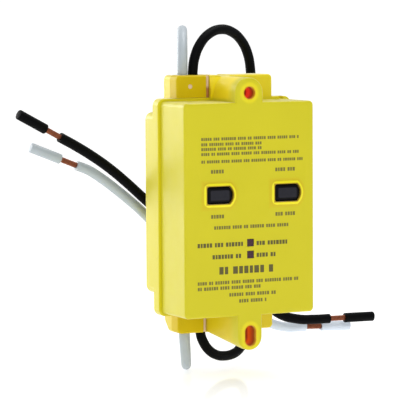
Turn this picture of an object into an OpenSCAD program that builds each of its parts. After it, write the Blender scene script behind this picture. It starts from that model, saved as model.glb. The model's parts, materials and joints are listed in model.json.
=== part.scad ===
// Hard-wired ground-fault module: moulded housing, test and reset buttons, two indicators, four leads.
// Millimetres. Origin at the centre of the back mounting face, front towards -Y, +Z up.

/* [Housing] */
// Width of the front cover
cover_w = 58; // [56:0.5:64]
// Height of the front cover
cover_h = 86; // [84:0.5:94]
// Depth of the front cover, front face to parting line
cover_d = 22.3; // [22:0.1:26]
// Depth of the rear housing, parting line to mounting face
base_d = 13; // [12.6:0.1:15]
// Moulded wall
wall = 2.2; // [1.8:0.1:2.6]
// Radius of the moulded edges
edge_r = 0.9; // [0.5:0.1:1.4]
// Corner radius seen from the front
corner_r = 1.8; // [1.5:0.1:3]
// How far the rear flange stands out past the cover
flange_lip = 1.2; // [0.8:0.1:2]
// Depth of the rear flange
flange_d = 5.4; // [4.8:0.1:6.5]
// Step from the cover's top down to the back plateau
step_top = 4.6; // [3.5:0.1:6]
// Step from the cover's bottom up to the back plateau
step_bottom = 7.6; // [6.5:0.1:8.5]

/* [Necks] */
// Set-in of the neck blocks from the cover's sides
neck_inset = 7.3; // [5:0.1:8.5]
// Rise of the top neck above the cover
neck_up = 10.4; // [9:0.1:13]
// Drop of the bottom neck below the cover
neck_down = 8.9; // [8:0.1:11]
// Rounding of the bottom neck's rear edge
neck_tail_r = 3; // [1:0.5:4]
// Depth of the groove in the top neck's crown
crown_scoop = 0.9; // [0.5:0.1:1.5]
// Radius of that groove
crown_scoop_r = 5.5; // [4:0.5:8]

/* [Mounting ears] */
// Diameter of the top screw hole
hole_d = 4.8; // [4:0.1:5.4]
// Height of that hole above the cover
hole_up = 3.7; // [3.4:0.1:4.2]
// Outer radius of the top ear
ear_r = 6.2; // [5.2:0.1:7]
// Radius of the fillet at the foot of the top ear's boss
ear_fillet = 3.6; // [2:0.1:4]
// Width of the bottom screw slot
slot_w = 4.7; // [4.4:0.1:5]
// Length of that slot
slot_l = 8.2; // [7:0.1:8.6]
// Distance of the slot below the cover
slot_down = 8.2; // [8:0.1:9]
// Outer radius of the bottom ear
foot_r = 5.4; // [5:0.1:6]
// Distance of the bottom ear's round end below the cover
foot_down = 8.7; // [8.5:0.1:9.5]
// Thickness of the bottom ear before it tapers
foot_t = 4; // [3:0.5:6]

/* [Buttons] */
// Length of a button
button_l = 11.2; // [9:0.1:12]
// Height of a button
button_h = 6.5; // [5:0.1:7.5]
// Radius of a button's round end
button_end_r = 4.2; // [4:0.1:5]
// Radius of a button's left corners
button_corner_r = 0.7; // [0.4:0.1:1]
// Gap around a button
button_gap = 0.3; // [0.2:0.05:0.5]
// How far a button stands proud of the cover
button_proud = 0.8; // [0.4:0.1:1.2]
// Length of a button's raised pad
pad_l = 8.3; // [6:0.1:9]
// Height of that pad
pad_h = 4; // [3:0.1:4.6]
// Travel of a button
button_travel = 1.5; // [1:0.1:1.8]
// Width of the bevelled rim around a button
rim_w = 1.7; // [1:0.1:2.4]
// Height of that rim
rim_h = 0.6; // [0.3:0.1:0.8]
// Distance of the test button from the cover's left side
test_in = 15.6; // [14:0.1:17]
// Distance of the reset button from the cover's right side
reset_in = 12.1; // [11.5:0.1:14]
// Height of both buttons
button_z = 6.1; // [5:0.1:6.5]

/* [Indicators] */
// Width of an indicator window
window_w = 3.1; // [2.6:0.1:3.6]
// Side position of the windows
window_x = 0.2; // [-1:0.1:1]
// Height of the upper window
window_z = -13.5; // [-15:0.1:-12]
// Spacing of the windows
window_pitch = 4.8; // [4.6:0.1:6]
// Gap around a light pipe
pipe_gap = 0.15; // [0.1:0.05:0.25]

/* [Leads] */
// Diameter over the insulation
lead_d = 4.1; // [3.6:0.1:4.2]
// Diameter of the stranded conductor
core_d = 2.3; // [2:0.1:2.6]
// Gap around a lead in its channel
lead_gap = 0.15; // [0.1:0.05:0.25]
// Distance of the neutral leads from the necks' left side
lead_in = 5.5; // [4.7:0.1:5.7]
// Spacing of the line leads
line_pitch = 4.8; // [4.7:0.1:5]
// Spacing of the load leads
load_pitch = 7.6; // [7.2:0.1:7.8]
// Bared stretch before the slug
bare_l = 7.5; // [6:0.5:9]
// Length of the slug left on the end
slug_l = 14; // [10:0.5:15]
// Gap between slug and conductor
slug_gap = 0.06; // [0.04:0.01:0.1]

/* [Strain reliefs] */
// Wall beside the line strain relief's outer lead channel
relief_wall = 0.7; // [0.6:0.1:1]
// Width of the sealed groove at a strain relief's inner side
relief_gap = 1.6; // [1.2:0.1:1.8]
// Distance of the load groove's middle from the load hot lead
load_groove_in = 0.9; // [0.6:0.1:1.2]
// How deep the sealant lies in a groove
seal_depth = 0.3; // [0.2:0.1:1.2]
// Gap under a strain relief's foot
relief_seat = 0.1; // [0.05:0.01:0.2]
// Diameter of its two pegs
peg_d = 2; // [1.6:0.1:2.2]
// Length of its pegs
peg_l = 3; // [2:0.2:3.6]
// Gap of press-fitted pins and screws
fit_gap = 0.05; // [0.03:0.01:0.08]
// Diameter of the sealant plug in the line strain relief's face
plug_d = 1.8; // [1.4:0.1:2.2]
// Depth of that plug
plug_t = 2; // [1:0.2:2.6]

/* [Snap fits] */
// Distance of the snaps from the cover's sides
snap_in = 9.6; // [9:0.2:11]
// Width of a snap tongue
snap_w = 6; // [5:0.2:7]
// Width of a snap window
snap_window_w = 2.8; // [2.2:0.1:3.2]
// Depth of a snap window
snap_window_d = 4.2; // [3.6:0.1:5]
// Distance of the window ahead of the parting line
snap_reach = 6; // [5.6:0.1:7]
// Thickness of a snap tongue
snap_t = 1.3; // [1:0.1:1.5]
// Gap around snaps
snap_gap = 0.2; // [0.15:0.05:0.3]
// Distance of the pry notch in the top flange from the cover's right side
pry_in = 3.3; // [3:0.1:6]
// Width of that notch
pry_w = 2; // [1.6:0.1:3]
// Depth of that notch
pry_d = 2.4; // [1.5:0.1:3]

/* [Circuit board] */
// Gap between the board's sides and the housing
board_side = 1.8; // [1.3:0.1:2.3]
// Top edge of the board
board_top = 30.5; // [30:0.1:32]
// Bottom edge of the board
board_bot = -27.5; // [-28.5:0.1:-27.3]
// Board thickness
board_t = 1.6; // [1.2:0.1:2]
// Set-back of the board from the parting line
board_set = 2.2; // [2:0.1:2.4]
// Clearance of parts that pass through the board
board_gap = 0.2; // [0.1:0.05:0.3]
// Diameter of a board standoff
standoff_d = 4.6; // [4:0.1:5]
// Diameter of a board screw
screw_d = 2.2; // [1.8:0.1:2.4]
// Length of a board screw under its head
screw_l = 5.5; // [4.5:0.5:6.5]

/* [Switches] */
// Width of a push switch
switch_w = 7; // [6:0.2:7.4]
// Height of a push switch
switch_h = 5; // [4.5:0.1:5.5]
// Diameter of a switch plunger
plunger_d = 3.2; // [2.6:0.1:3.4]
// Height of a plunger above its switch
plunger_h = 5; // [4:0.1:5.5]
// Wire of a button spring
spring_wire = 0.5; // [0.4:0.05:0.6]
// Mean diameter of a button spring
spring_d = 4.9; // [4.7:0.1:5.2]
// Turns of a button spring
spring_turns = 7; // [5:1:8]

/* [Sensing coils] */
// Outer diameter of a wound toroid
toroid_d = 19.2; // [18:0.1:19.4]
// Bore of a wound toroid
toroid_bore = 9.6; // [9.5:0.1:10]
// Height of a wound toroid
toroid_h = 5; // [4:0.1:5.2]
// Thickness of the winding on the core
winding_t = 1.1; // [0.8:0.1:1.4]
// Height of both toroids' centre on the board
toroid_z = 20.5; // [20:0.1:21]

/* [Trip relay] */
// Distance of the relay from the cover's right side
relay_in = 13.8; // [13.6:0.1:14.2]
// Room between the relay and the cover's front wall
relay_room = 0.8; // [0.6:0.1:1.4]
// Height of the armature's hinge line
hinge_z = -8.7; // [-9:0.1:-8.3]
// Distance from the hinge to the coil's axis
coil_arm = 7.3; // [7.1:0.1:7.8]
// Distance from the hinge to the contacts
contact_arm = 16; // [15.6:0.1:16.4]
// Coil diameter
coil_d = 11.2; // [10:0.1:11.4]
// Width of the yoke and armature
yoke_w = 12; // [11:0.1:12.4]
// Thickness of the yoke and armature
yoke_t = 1.4; // [1.2:0.1:1.6]
// Open gap between the contacts
contact_gap = 2; // [1.9:0.1:2.4]
// Contact diameter
contact_d = 2.2; // [1.8:0.1:2.4]
// Contact thickness
contact_t = 0.8; // [0.6:0.1:1]
// Spacing of the two contacts of a pole
pole_w = 6; // [5.6:0.1:6.2]
// Spacing of the two poles
pole_pitch = 10; // [9.8:0.1:10.4]

/* [Hidden] */
$fn = 48;
eps = 0.01;
total_d = cover_d + base_d;
front_y = -total_d;
part_y = -base_d;
inner_x = cover_w / 2 - wall;
inner_z = cover_h / 2 - wall;
rear_w = cover_w + 2 * flange_lip;
neck_w = cover_w - 2 * neck_inset;
test_x = test_in - cover_w / 2;
reset_x = cover_w / 2 - reset_in;
snap_x = cover_w / 2 - snap_in;
pry_x = cover_w / 2 - pry_in;
relay_x = cover_w / 2 - relay_in;
board_w = 2 * (inner_x - board_side);
plateau_top = cover_h / 2 - step_top;
plateau_bot = -cover_h / 2 + step_bottom;
neck_top = cover_h / 2 + neck_up;
neck_bot = -cover_h / 2 - neck_down;
hole_z = cover_h / 2 + hole_up;
slot_z = -cover_h / 2 - slot_down;
foot_z = -cover_h / 2 - foot_down;
lead_y = part_y / 2;
lead_x = lead_in - neck_w / 2;
line_hot_x = lead_x + line_pitch;
load_hot_x = lead_x + load_pitch;
channel_r = lead_d / 2 + lead_gap;
relief_left = -neck_w / 2;
relief_foot = cover_h / 2 + flange_lip + relief_seat;
plug_x = lead_x + 0.6;
board_y = part_y + board_set;
board_back = board_y + board_t;
flange_floor = part_y + flange_d - wall;
plateau_floor = -wall;
wall_in_y = front_y + wall;
flange_gap = 0.3;
flange_t = 1.4;
button_edge = 0.08;
pad_in = 1.1;
pad_r = 0.6;
button_flange = 1.2;
button_flange_y = wall_in_y + flange_gap;
switch_y = board_y - switch_h;
plunger_y = switch_y - plunger_h;
well_d = switch_h - 1.4;
pipe_flange_t = 1;
pipe_end_y = board_y - 6.5;
strap_w = 2.4;
strap_t = 0.5;
tab_t = 1.2;
crimp_d = 3.8;
crimp_l = 3.8;
line_tail_z = board_top - 2;
load_tail_z = board_bot - 3.5;
riser_step = 2;
over_y = board_y - 2 * toroid_h - 2.6;
return_x = lead_x + line_pitch / 2 + toroid_d / 2 + 2.8;
load_strap_z = board_bot + 5.6;
relay_base_t = 2;
core_r = 2.5;
bobbin_wall = 0.9;
flange_thin = 0.8;
flange_thick = 1;
pole_t = 0.6;
pole_gap = 1.25;
hinge_gap = 0.2;
bridge_t = 0.8;
carrier_t = 1.2;
leaf_w = 7;
leaf_t = 0.35;
leaf_foot = 6;
leaf_rivet = 1.5;
relay_top = board_y - wall_in_y - relay_room;
armature_h = relay_top - carrier_t - yoke_t;
hinge_h = armature_h - hinge_gap;
pole_h = hinge_h - pole_gap;
bobbin_top = pole_h - pole_t - fit_gap;
coil_l = bobbin_top - flange_thin - relay_base_t - yoke_t - flange_thick;
post_z = hinge_z - contact_arm;
coil_z = hinge_z - coil_arm;
post_w = 2.6;
post_t = 1.2;
contact_x = [for (p = [-1, 1]) for (c = [-1, 1]) relay_x + p * pole_pitch / 2 + c * pole_w / 2];
standoff_x = board_w / 2 - 2.6;
standoffs = [[-standoff_x, 9.5], [standoff_x, 26.8], [-standoff_x, -23.5], [standoff_x, -2.5]];
chip_w = 9.8;
chip_side = 8.2;
chip_x = return_x + chip_side;
thyristor_w = 6.4;
thyristor_x = board_w / 2 - 4;
varistor_r = 6.4;
varistor_t = 4;
varistor_h = 8.6;
varistor_x = 6 - board_w / 2;
varistor_z = window_z + 2.5;
reservoir_r = 4;
reservoir_h = 10.5;
reservoir_x = test_x + 4.4;
reservoir_z = window_z + 4.5;
film_w = 9.2;
film_t = 4;
film_h = 8;
film_side = 6.9;
film_up = 7.9;
film_x = reset_x - film_side;
film_z = button_z + film_up;
resistor_r = 1.7;
resistor_l = 9.2;
resistor_span = 12;
resistor_x = 5.6 - board_w / 2;
diode_w = 2;
diode_l = 4.4;
diode_h = 2.2;
diode_pitch = 3.2;
diode_x = window_x - 4 * diode_pitch - diode_w;
diode_z = window_z - window_pitch - 0.7;
leg_t = 0.6;

// Lead routes: a half loop out of the neck where there is one, then chosen points
lead_start = 0.3 * lead_d;
loop_start = 0.6;
hot_loop_r = 17.7;
neutral_loop_r = 17.4;
foot_loop_r = 15.2;
foot_loop_lean = 0.9;
line_hot_route = concat(half_loop(line_hot_x, 1, [5, 2, 0], hot_loop_r), [[21.5, 6.6, 55], [21.9, 7.1, 46],
    [21.9, 7.5, 36], [21.6, 7.5, 25], [21.5, 7.5, 14], [21.5, 7.5, 3], [21.5, 7.5, -9], [21.7, 7.5, -21],
    [23.3, 8, -32.3], [27.8, 8, -42.2], [35.4, 8, -49.2], [44.4, 8, -52], [52, 8, -52.6], [59.5, 8, -52.7]]);
line_neutral_route = concat(half_loop(lead_x, 1, [1, 2.08, 0], neutral_loop_r), [[-1.1, 25, 54.8],
    [-0.8, 25.2, 45], [0.2, 24.3, 34], [2.6, 22.4, 22], [5.6, 20.3, 10], [9, 18.2, -2], [12.5, 16.4, -14],
    [16, 15.2, -26], [20, 14.5, -37], [25.5, 14, -46.5], [32.8, 14, -53], [41.4, 14, -55.9],
    [51, 14, -56.3]]);
load_hot_route = [[-7.1, -6.3, -57], [-4.2, -5.5, -60.5], [-0.1, -4, -62.9], [4.4, -1.8, -63.9],
    [9.4, 0.8, -63.9], [14.1, 3.8, -62.6], [17.7, 6.8, -59.7], [19.5, 9.3, -55], [19.6, 10.9, -48.8],
    [17.4, 11.3, -42], [12.8, 11.2, -35.4], [6.8, 10.9, -28.8], [0.2, 10.4, -22.3], [-6.6, 9.8, -15.9],
    [-13.6, 9.2, -9.5], [-20.6, 8.6, -3.2], [-27.8, 8.1, 3], [-35, 7.9, 9.3], [-42.5, 7.6, 15.3],
    [-50.2, 7, 20.5], [-57.9, 6.2, 25], [-65.4, 5.1, 28.9]];
load_neutral_route = concat(half_loop(lead_x, -1, [1, 2.08, 0], foot_loop_r, foot_loop_lean),
    [[-2.9, 21.3, -48.3], [-3.9, 21, -38.5], [-7.2, 19.4, -29], [-11.9, 17.3, -19.5], [-17.8, 15.4, -11],
    [-24.6, 13.8, -4.3], [-31.9, 13, 1.8], [-39, 13, 7.4], [-44.4, 13, 11.3], [-49.6, 13, 14.5],
    [-55.1, 13, 16.7]]);

// Box between two opposite corners
module block(a, b) {
    translate(a) cube(b - a);
}

// Cylinder along +Y from a point
module rod_y(p, r, l) {
    translate(p) rotate([-90, 0, 0]) cylinder(r = r, h = l);
}

// Cylinder along +Z from a point
module rod_z(p, r, l) {
    translate(p) cylinder(r = r, h = l);
}

// Short round post along +Y, with its front edge rounded by front_e and its back edge by back_e
module puck(x, y, z, r, l, front_e, back_e) {
    front = [for (a = [0:30:90]) [r - front_e + front_e * sin(a), front_e - front_e * cos(a)]];
    back = [for (a = [0:30:90]) [r - back_e + back_e * cos(a), l - back_e + back_e * sin(a)]];
    translate([x, y, z]) rotate([-90, 0, 0])
        rotate_extrude($fn = 32) polygon(concat([[0, 0]], front, back, [[0, l]]));
}

// Box with rounded corners and edges, along +Y
module moulded_box(w, z0, z1, y, l, r, front_e, back_e) {
    hull()
        for (x = [-w / 2 + r, w / 2 - r])
            for (z = [z0 + r, z1 - r])
                puck(x, y, z, r, l, front_e, back_e);
}

// Points of an arc in n steps
function arc(x, z, r, from, to, n) = [for (i = [0:n])
    let(a = from + (to - from) * i / n) [x + r * cos(a), z + r * sin(a)]];

// Outline of a button grown by g: straight with small corners at the left, round at the right
function button_outline(g) =
    let(x = button_corner_r - button_l / 2, z = button_h / 2 - button_corner_r, end_r = button_end_r + g,
        reach = asin((button_h / 2 + g) / end_r))
    concat(arc(button_l / 2 - button_end_r, 0, end_r, -reach, reach, 12),
        arc(x, z, button_corner_r + g, 90, 180, 4), arc(x, -z, button_corner_r + g, 180, 270, 4));

// A button outline as a slab from y to y + l, centred at x
module button_slab(x, y, l, g) {
    translate([x, y, button_z]) rotate([90, 0, 0])
        translate([0, 0, -l]) linear_extrude(l) polygon(button_outline(g));
}

// Solid through button outlines from front to back: each step is a depth and a growth
module button_loft(x, steps) {
    n = len(button_outline(0));
    last = len(steps) - 1;
    points = [for (s = steps) for (p = button_outline(s[1])) [x + p[0], s[0], button_z + p[1]]];
    walls = [for (i = [0:last - 1]) for (j = [0:n - 1]) each
        [[i * n + j, i * n + (j + 1) % n, (i + 1) * n + j],
        [i * n + (j + 1) % n, (i + 1) * n + (j + 1) % n, (i + 1) * n + j]]];
    ends = concat([for (j = [1:n - 2]) [0, j + 1, j]],
        [for (j = [1:n - 2]) [last * n, last * n + j, last * n + j + 1]]);
    polyhedron(points, concat(walls, ends));
}

// Slot outline through the bottom ear and neck
module slot_cut(y, l) {
    reach = (slot_l - slot_w) / 2;
    rod_y([0, y, slot_z + reach], slot_w / 2, l);
    rod_y([0, y, slot_z - reach], slot_w / 2, l);
    block([-slot_w / 2, y, slot_z - reach], [slot_w / 2, y + l, slot_z + reach]);
}

// Front cover: box open at the back, two ear bosses, button rims, windows and snap windows
module front_cover() {
    color([0.85, 0.78, 0.12])
    difference() {
        union() {
            moulded_box(cover_w, -cover_h / 2, cover_h / 2, front_y, cover_d, corner_r, edge_r, 0.1);
            top_ear();
            bottom_ear();
            button_rim(test_x);
            button_rim(reset_x);
        }
        block([-inner_x, wall_in_y, -inner_z], [inner_x, part_y + eps, inner_z]);
        rod_y([0, front_y - 1, hole_z], hole_d / 2, cover_d + 2);
        slot_cut(front_y - 1, cover_d + 2);
        button_slab(test_x, front_y - 1, wall + 2, button_gap);
        button_slab(reset_x, front_y - 1, wall + 2, button_gap);
        for (z = [window_z, window_z - window_pitch])
            block([window_x - window_w / 2, front_y - 1, z - window_w / 2],
                [window_x + window_w / 2, wall_in_y + 1, z + window_w / 2]);
        for (x = [-snap_x, snap_x])
            block([x - snap_window_w / 2, part_y - snap_reach - snap_window_d, -cover_h],
                [x + snap_window_w / 2, part_y - snap_reach, cover_h]);
    }
}

// Top ear: a boss over the screw hole, with a fillet where it lands on the neck
module top_ear() {
    hull() {
        puck(0, front_y, hole_z, ear_r, cover_d, edge_r, 0.1);
        for (x = [-1, 1])
            puck(x * (ear_r - corner_r), front_y, cover_h / 2 - wall, corner_r, cover_d, edge_r, 0.1);
    }
    difference() {
        translate([0, part_y, hole_z]) rotate([90, 0, 0])
            rotate_extrude($fn = 64)
                difference() {
                    square([ear_r + ear_fillet, ear_fillet]);
                    translate([ear_r + ear_fillet, ear_fillet]) circle(r = ear_fillet + 0.1);
                }
        block([-cover_w, part_y - 2 * ear_fillet, neck_top - edge_r], [cover_w, part_y + 1, cover_h]);
        block([-cover_w, part_y - 2 * ear_fillet, cover_h / 2],
            [groove_x(1) + relief_gap / 2, part_y + 1, cover_h]);
    }
}

// Bottom ear: a round-ended plate whose boss tapers up to the neck and spreads to the groove
module bottom_ear() {
    spread = groove_x(-1) + relief_gap / 2 + edge_r;
    hull() {
        puck(0, front_y, foot_z, foot_r, foot_t, edge_r, 0.1);
        for (x = [spread, foot_r - edge_r])
            rod_y([x, part_y - 1, neck_bot + edge_r], edge_r, 1, $fn = 32);
        rod_y([spread, part_y - 1, -cover_h / 2 + wall / 5], edge_r, 1, $fn = 32);
        for (x = [-1, 1])
            puck(x * (foot_r - corner_r), front_y, -cover_h / 2 + wall, corner_r, cover_d, edge_r, 0.1);
    }
}

// Bevelled rim around a button
module button_rim(x) {
    outer = button_gap + rim_w;
    button_loft(x, [[front_y - rim_h, outer - rim_w / 2], [front_y, outer], [front_y + wall / 2, outer]]);
}

// Rear housing: flange, back plateau, neck blocks, lead channels, standoffs and snap tongues
module rear_housing() {
    color([0.82, 0.74, 0.1])
    difference() {
        union() {
            difference() {
                union() {
                    moulded_box(rear_w, -cover_h / 2 - flange_lip, cover_h / 2 + flange_lip, part_y,
                        flange_d, corner_r + flange_lip, edge_r / 2, edge_r / 2);
                    moulded_box(rear_w, plateau_bot, plateau_top, part_y + 1, base_d - 1,
                        corner_r + flange_lip, 0.1, edge_r);
                    neck_spine();
                }
                block([-inner_x, part_y - eps, -inner_z], [inner_x, flange_floor, inner_z]);
                block([-inner_x, part_y - eps, plateau_bot + wall],
                    [inner_x, plateau_floor, plateau_top - wall]);
            }
            for (p = standoffs)
                rod_y([p[0], board_back, p[1]], standoff_d / 2, plateau_floor - board_back + eps);
            for (side = [-1, 1])
                for (x = [-snap_x, snap_x])
                    snap_tongue(x, side);
        }
        rod_y([0, part_y - 1, hole_z], hole_d / 2, base_d + 2);
        slot_cut(part_y - 1, base_d + 2);
        for (x = [lead_x, line_hot_x])
            rod_z([x, lead_y, plateau_top - wall - 1], channel_r, neck_top - plateau_top + wall + 2);
        for (x = [lead_x, load_hot_x])
            rod_z([x, lead_y, neck_bot - 1], channel_r, plateau_bot - neck_bot + wall + 2);
        relief_pocket(1);
        relief_pocket(-1);
        block([pry_x - pry_w / 2, part_y - 1, cover_h / 2],
            [pry_x + pry_w / 2, part_y + pry_d, cover_h / 2 + 2 * flange_lip]);
        rod_y([0, part_y - 1, neck_top + crown_scoop_r - crown_scoop], crown_scoop_r, base_d + 2);
        for (p = standoffs)
            rod_y([p[0], board_back - 1, p[1]], screw_d / 2 + fit_gap, screw_l + 0.6);
    }
}

// Spine of both necks, its bottom rear edge well rounded
module neck_spine() {
    spine_x = neck_w / 2 - corner_r;
    hull() {
        for (x = [-spine_x, spine_x]) {
            puck(x, part_y, neck_top - corner_r, corner_r, base_d, edge_r, edge_r);
            puck(x, part_y, neck_bot + corner_r, corner_r, base_d - neck_tail_r, edge_r, 0.1);
            puck(x, part_y, neck_bot + neck_tail_r + corner_r, corner_r, base_d, edge_r, 0.1);
        }
        translate([-spine_x, -neck_tail_r, neck_bot + neck_tail_r]) rotate([0, 90, 0])
            cylinder(r = neck_tail_r, h = 2 * spine_x, $fn = 32);
    }
}

// Room for a strain relief and its pegs in a neck: side is 1 at the top and -1 at the bottom
module relief_pocket(side) {
    foot = side * (relief_foot - relief_seat);
    tip = side * cover_h;
    block([relief_left - 1, part_y - 1, min(foot, tip)],
        [groove_x(side) + relief_gap / 2, lead_y, max(foot, tip)]);
    for (p = peg_spots(side))
        rod_y([p[0], lead_y - 1, p[1]], peg_d / 2 + fit_gap, peg_l + 1.4);
}

// Middle of the sealed groove: beside the line hot lead, over the load hot lead
function groove_x(side) = side > 0 ? line_hot_x + channel_r + relief_wall + relief_gap / 2
    : load_hot_x - load_groove_in;
function relief_tip(side) = side > 0 ? neck_top : neck_bot;
function peg_spots(side) = [for (x = [relief_left + peg_d / 2 + 0.5])
    for (k = [0.3, 0.72]) [x, side * relief_foot + k * (relief_tip(side) - side * relief_foot)]];

// Snap tongue inside the cover's top or bottom wall, its nub in the cover's window
module snap_tongue(x, side) {
    outer = inner_z - snap_gap;
    nub_y = part_y - snap_reach - snap_window_d + snap_gap;
    nub_w = snap_window_w - 2 * snap_gap;
    mirror([0, 0, side > 0 ? 0 : 1]) {
        block([x - snap_w / 2, nub_y - 1, outer - snap_t], [x + snap_w / 2, flange_floor - 1, outer]);
        block([x - snap_w / 2, part_y, outer - snap_t], [x + snap_w / 2, flange_floor + eps, inner_z + eps]);
        block([x - nub_w / 2, nub_y, outer - eps],
            [x + nub_w / 2, part_y - snap_reach - snap_gap, cover_h / 2 - wall / 3]);
    }
}

// Strain relief block over the leads of a neck, pegged into it; the top one has a sealant hole
module strain_relief(side) {
    z0 = side * relief_foot;
    z1 = relief_tip(side);
    low = min(z0, z1);
    high = max(z0, z1);
    color([0.8, 0.7, 0.08]) {
        difference() {
            intersection() {
                neck_spine();
                block([relief_left, part_y, low], [groove_x(side) - relief_gap / 2, lead_y - fit_gap, high]);
            }
            for (x = [lead_x, side > 0 ? line_hot_x : load_hot_x])
                rod_z([x, lead_y, low - 1], channel_r, high - low + 2);
            if (side > 0)
                rod_y([plug_x, part_y - 1, (low + high) / 2], plug_d / 2 + fit_gap, plug_t + 1);
        }
        for (p = peg_spots(side))
            rod_y([p[0], lead_y - 1, p[1]], peg_d / 2, peg_l + 1);
    }
}

module line_strain_relief() {
    strain_relief(1);
}

module load_strain_relief() {
    strain_relief(-1);
}

// Sealant: a plug in the face of the line strain relief and a round-topped bead in each groove
module sealant_plugs() {
    color([0.85, 0.72, 0.68]) {
        rod_y([plug_x, part_y + 0.1, (relief_foot + neck_top) / 2], plug_d / 2, plug_t - 0.1);
        seal_bead(1);
        seal_bead(-1);
    }
}

module seal_bead(side) {
    foot = side * relief_foot;
    tip = relief_tip(side) - side * seal_depth;
    low = min(foot, tip);
    high = max(foot, tip);
    r = relief_gap / 2 - fit_gap;
    x = groove_x(side);
    back = lead_y - channel_r;
    hull() {
        rod_z([x, part_y + seal_depth + r, low], r, high - low, $fn = 24);
        block([x - r, back - 1, low], [x + r, back, high]);
    }
}

// Button: bevelled cap with a raised pad, retaining flange and stem
module push_button(x) {
    color([0.12, 0.12, 0.13]) {
        hull() {
            button_slab(x, front_y, 0.4, -button_edge);
            for (dx = [pad_in + pad_r, pad_in + pad_l - pad_r])
                for (dz = [pad_r - pad_h / 2, pad_h / 2 - pad_r])
                    rod_y([x - button_l / 2 + dx, front_y - button_proud, button_z + dz], pad_r, button_proud,
                        $fn = 24);
        }
        button_slab(x, front_y + 0.2, button_flange_y - front_y, 0);
        button_slab(x, button_flange_y, flange_t, button_flange);
        rod_y([x, button_flange_y + flange_t - eps, button_z], plunger_d / 2 + 0.15,
            plunger_y - button_flange_y - flange_t + eps);
    }
}

module test_button() {
    push_button(test_x);
}

module reset_button() {
    push_button(reset_x);
}

// Switch plunger, pressed by the button's stem
module plunger(x) {
    color([0.75, 0.74, 0.7])
    rod_y([x, plunger_y, button_z], plunger_d / 2, plunger_h + well_d - button_travel - 0.5);
}

module test_plunger() {
    plunger(test_x);
}

module reset_plunger() {
    plunger(reset_x);
}

// Push switch on the board, with a well for its plunger
module push_switch(x) {
    color([0.2, 0.2, 0.22])
    difference() {
        block([x - switch_w / 2, switch_y, button_z - switch_w / 2],
            [x + switch_w / 2, board_y, button_z + switch_w / 2]);
        rod_y([x, switch_y - 1, button_z], plunger_d / 2 + 0.3, well_d + 1);
    }
}

module test_switch() {
    push_switch(test_x);
}

module reset_switch() {
    push_switch(reset_x);
}

// Coil spring between a switch and its button's flange
module button_spring(x) {
    start = button_flange_y + flange_t + spring_wire / 2 + 0.05;
    span = switch_y - spring_wire / 2 - 0.05 - start;
    steps = spring_turns * 10;
    points = [for (i = [0:steps]) [x + spring_d / 2 * cos(36 * i), start + span * i / steps,
        button_z + spring_d / 2 * sin(36 * i)]];
    color([0.7, 0.72, 0.75]) tube(points, spring_wire / 2, 6);
}

module test_spring() {
    button_spring(test_x);
}

module reset_spring() {
    button_spring(reset_x);
}

// Smoked light pipes in the two windows
module light_pipes() {
    half = window_w / 2 - pipe_gap;
    color([0.25, 0.18, 0.35])
    for (z = [window_z, window_z - window_pitch]) {
        block([window_x - half, front_y + 0.1, z - half], [window_x + half, wall_in_y + 0.1, z + half]);
        block([window_x - half - 0.5, wall_in_y + 0.1, z - half - 0.5],
            [window_x + half + 0.5, wall_in_y + 0.1 + pipe_flange_t, z + half + 0.5]);
        block([window_x - half + 0.3, wall_in_y + pipe_flange_t, z - half + 0.3],
            [window_x + half - 0.3, pipe_end_y, z + half - 0.3]);
    }
}

// Lamps on the board under the light pipes
module indicator_leds() {
    color([0.8, 0.85, 0.8])
    for (z = [window_z, window_z - window_pitch]) {
        rod_y([window_x, pipe_end_y + 0.2, z], 1.5, board_y - pipe_end_y - 0.2);
        rod_y([window_x, board_y - 1.2, z], 1.9, 1.2);
    }
}

// Circuit board with slots for risers and posts
module circuit_board() {
    color([0.1, 0.4, 0.2])
    difference() {
        block([-board_w / 2, board_y, board_bot], [board_w / 2, board_back, board_top]);
        for (p = standoffs)
            rod_y([p[0], board_y - 1, p[1]], screw_d / 2 + board_gap, board_t + 2);
        board_slot(lead_x, toroid_z + riser_step, strap_w, tab_t);
        board_slot(line_hot_x, toroid_z - riser_step, strap_w, tab_t);
        for (k = [-1, 1])
            board_slot(return_x, toroid_z + k * riser_step, tab_t, strap_w);
        for (x = contact_x)
            board_slot(x, post_z, post_w, post_t);
    }
}

// Slot through the board around a strap of w by h at x, z
module board_slot(x, z, w, h) {
    block([x - w / 2 - board_gap, board_y - 1, z - h / 2 - board_gap],
        [x + w / 2 + board_gap, board_back + 1, z + h / 2 + board_gap]);
}

// Screws that hold the board to its standoffs
module board_screws() {
    color([0.7, 0.7, 0.72])
    for (p = standoffs)
        difference() {
            union() {
                rod_y([p[0], board_y - 1.4, p[1]], screw_d / 2 + 0.9, 1.4);
                rod_y([p[0], board_y - 0.5, p[1]], screw_d / 2, screw_l + 0.5);
            }
            block([p[0] - 1.6, board_y - 2, p[1] - 0.25], [p[0] + 1.6, board_y - 0.9, p[1] + 0.25]);
        }
}

function toroid_x() = lead_x + line_pitch / 2;
function toroid_y(i) = board_y - 0.2 - i * (toroid_h + 0.3);

// Ring around the toroids' axis, from y forwards
module toroid_ring(y, r0, r1, h) {
    difference() {
        rod_y([toroid_x(), y - h, toroid_z], r1, h);
        rod_y([toroid_x(), y - h - 1, toroid_z], r0, h + 2);
    }
}

// Cores of the fault sensor and the neutral sensor
module toroid_cores() {
    color([0.35, 0.35, 0.37])
    for (i = [0, 1])
        toroid_ring(toroid_y(i) - winding_t, toroid_bore / 2 + winding_t, toroid_d / 2 - winding_t,
            toroid_h - 2 * winding_t);
}

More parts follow.
